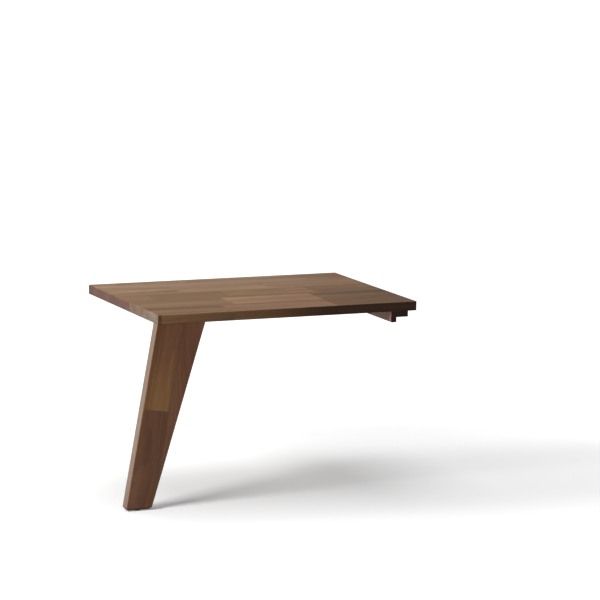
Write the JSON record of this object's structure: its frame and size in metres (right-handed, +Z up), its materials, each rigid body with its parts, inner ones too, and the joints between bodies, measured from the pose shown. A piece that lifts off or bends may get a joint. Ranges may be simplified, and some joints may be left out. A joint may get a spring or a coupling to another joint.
{
  "type": "clip-on bedside shelf",
  "caption": "Wooden bedside shelf that hooks over a bed's side rail at one end and stands on a splayed, tapered leg at its outer front corner.",
  "frame": {"origin": "middle of the rail seat, which is the underside of the non-slip strip that lies on the top edge of the bed's side rail", "axes": "+Z up, +X from the free end with the leg towards the bed, +Y from the front edge with the leg towards the back edge at the head of the bed"},
  "size_m": [0.6791, 0.457, 0.4257],
  "materials": {
    "top_wood": "satin lacquered staved walnut, mid brown",
    "leg_wood": "satin lacquered staved walnut, reddish brown",
    "clip_wood": "satin lacquered solid walnut",
    "dowel_wood": "bare beech",
    "screw_steel": "zinc plated",
    "bolt_steel": "zinc plated, dull",
    "angle_steel": "matt black powder coat",
    "insert_brass": "turned brass",
    "pad_rubber": "fine-grained matt non-slip strip",
    "glide_nylon": "dark brown moulded nylon"
  },
  "bodies": {
    "root": {"shelf_top": "top_wood", "leg": "leg_wood", "clip_spacer": "clip_wood", "clip_tongue": "clip_wood", "clip_dowels": "dowel_wood", "clip_screws": "screw_steel", "seat_pad": "pad_rubber", "stop_pad": "pad_rubber", "leg_angle": "angle_steel", "angle_screws": "screw_steel", "leg_bolts": "bolt_steel", "leg_washers": "screw_steel", "leg_inserts": "insert_brass", "leg_dowels": "dowel_wood", "foot_glide": "glide_nylon", "glide_nail": "screw_steel"}
  },
  "joints": []
}
